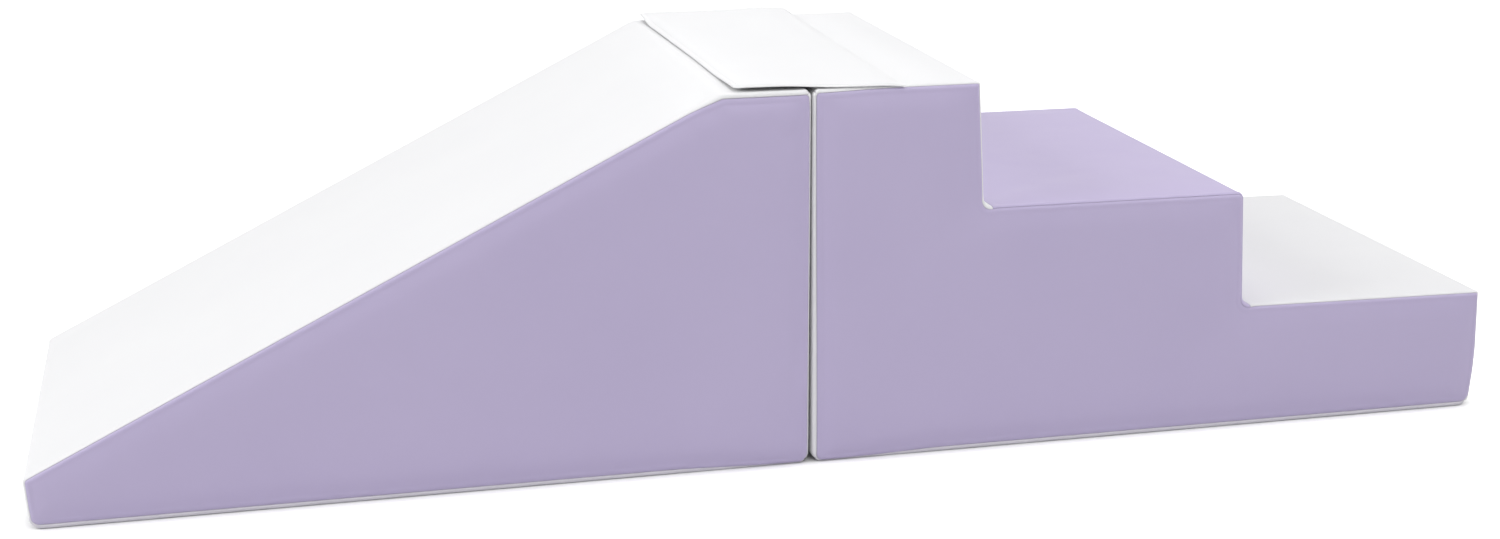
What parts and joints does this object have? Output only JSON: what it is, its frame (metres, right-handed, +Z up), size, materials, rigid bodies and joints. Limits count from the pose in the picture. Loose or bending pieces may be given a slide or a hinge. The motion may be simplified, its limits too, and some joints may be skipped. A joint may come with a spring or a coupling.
{
  "type": "soft play climber",
  "caption": "Soft foam climber for toddlers: a slide wedge and a stepped block in zipped sewn covers stand end to end on the floor, joined by a press-on flap over the gap.",
  "frame": {"origin": "on the floor, at the middle of the climber's bounding box", "axes": "+X runs from the slide's toe to the lowest step, -Y is the front and +Z is up"},
  "size_m": [1.9653, 0.6, 0.5137],
  "materials": {
    "lilac_cover": "lilac coated fabric, fine grain, satin",
    "white_cover": "white coated fabric, fine grain, satin",
    "base_cloth": "pale grey non-slip base cloth, matt",
    "foam": "open-cell polyurethane foam",
    "flap_lining": "white woven lining",
    "loop_tape": "white loop tape",
    "hook_tape": "white hook tape",
    "zip_tape": "pale woven tape with a nylon coil",
    "zip_metal": "nickel-plated zinc"
  },
  "bodies": {
    "steps_block": {"steps_foam_lower": "foam", "steps_foam_middle": "foam", "steps_foam_upper": "foam", "steps_front_panel": "lilac_cover", "steps_back_panel": "lilac_cover", "steps_end_panel": "white_cover", "steps_top_panel": "white_cover", "steps_middle_panel": "lilac_cover", "steps_lower_panel": "white_cover", "steps_base_panel": "base_cloth", "steps_zip_upper_tape": "zip_tape", "steps_zip_lower_tape": "zip_tape", "steps_zip_start_stop": "zip_metal", "steps_zip_end_stop": "zip_metal"},
    "slide_block": {"slide_foam_wedge": "foam", "slide_front_panel": "lilac_cover", "slide_back_panel": "lilac_cover", "slide_ramp_panel": "white_cover", "slide_end_panel": "white_cover", "slide_base_panel": "base_cloth", "slide_loop_strip": "loop_tape", "slide_zip_upper_tape": "zip_tape", "slide_zip_lower_tape": "zip_tape", "slide_zip_start_stop": "zip_metal", "slide_zip_end_stop": "zip_metal"},
    "flap": {"flap_cover": "white_cover", "flap_lining": "flap_lining", "flap_hook_strip": "hook_tape"},
    "slide_zip_slider": {"slide_zip_slider": "zip_metal"},
    "slide_zip_pull": {"slide_zip_pull": "zip_metal"},
    "steps_zip_slider": {"steps_zip_slider": "zip_metal"},
    "steps_zip_pull": {"steps_zip_pull": "zip_metal"}
  },
  "joints": [
    {"name": "blocks_part", "type": "slide", "parent": "steps_block", "child": "slide_block", "axis": [-1, 0, 0], "range_m": [0, 0.3]},
    {"name": "flap_peel", "type": "hinge", "parent": "steps_block", "child": "flap", "pos_m": [0.135, 0, 0.50155], "axis": [0, 1, 0], "range_deg": [0, 170]},
    {"name": "slide_zip_run", "type": "slide", "parent": "slide_block", "child": "slide_zip_slider", "axis": [-1, 0, 0], "range_m": [0, 0.809]},
    {"name": "slide_pull_turn", "type": "hinge", "parent": "slide_zip_slider", "child": "slide_zip_pull", "pos_m": [-0.065, 0.2979, 0.016], "axis": [0, 0, -1], "range_deg": [0, 170]},
    {"name": "steps_zip_run", "type": "slide", "parent": "steps_block", "child": "steps_zip_slider", "axis": [1, 0, 0], "range_m": [0, 0.791]},
    {"name": "steps_pull_turn", "type": "hinge", "parent": "steps_zip_slider", "child": "steps_zip_pull", "pos_m": [0.083, 0.2979, 0.016], "axis": [0, 0, 1], "range_deg": [0, 170]}
  ]
}
